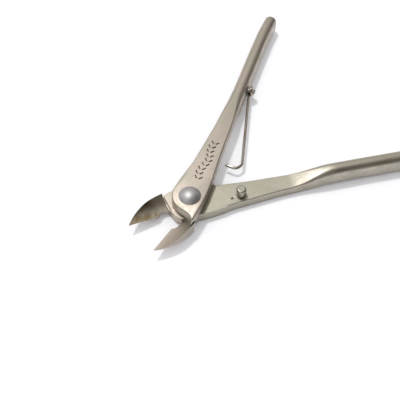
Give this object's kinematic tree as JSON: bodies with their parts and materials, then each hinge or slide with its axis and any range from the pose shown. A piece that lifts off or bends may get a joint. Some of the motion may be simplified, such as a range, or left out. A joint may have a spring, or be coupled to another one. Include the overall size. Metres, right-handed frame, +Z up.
{
  "type": "sprue nippers",
  "caption": "Small side-cutting nippers for hobby work: two slim lapped levers on a domed rivet, with a stop pin and a wire return spring.",
  "frame": {"origin": "pivot axis at the plane that the tool lies on", "axes": "+X along the centre line between the handles, jaws towards -X; +Z up along the pivot, towards the rivet head; the upper lever's handle is on the +Y side"},
  "size_m": [0.1102, 0.0976, 0.0097],
  "materials": {
    "lever_nickel": "satin nickel plating on steel",
    "rivet_steel": "polished steel",
    "pin_nickel": "satin nickel plating on steel",
    "spring_wire": "drawn spring wire, slightly glossy"
  },
  "bodies": {
    "lower": {"lower_lever": "lever_nickel", "stop_pin": "pin_nickel", "pivot_rivet": "rivet_steel"},
    "upper": {"upper_lever": "lever_nickel", "spring_post": "pin_nickel", "spring_coil": "spring_wire"},
    "spring": {"spring_arm": "spring_wire"}
  },
  "joints": [
    {"name": "pivot", "type": "hinge", "parent": "lower", "child": "upper", "pos_m": [0, 0, 0.004], "axis": [0, 0, 1], "range_deg": [-33, 10], "stiffness_Nm_per_rad": 0.6},
    {"name": "spring_flex", "type": "hinge", "parent": "upper", "child": "spring", "pos_m": [0.05183, 0.02359, 0.0033], "axis": [0, 0, 1], "range_deg": [-12.4, 3.8]}
  ],
  "couplings": [
    {"joint": "spring_flex", "follows": "pivot", "ratio": 0.375}
  ]
}
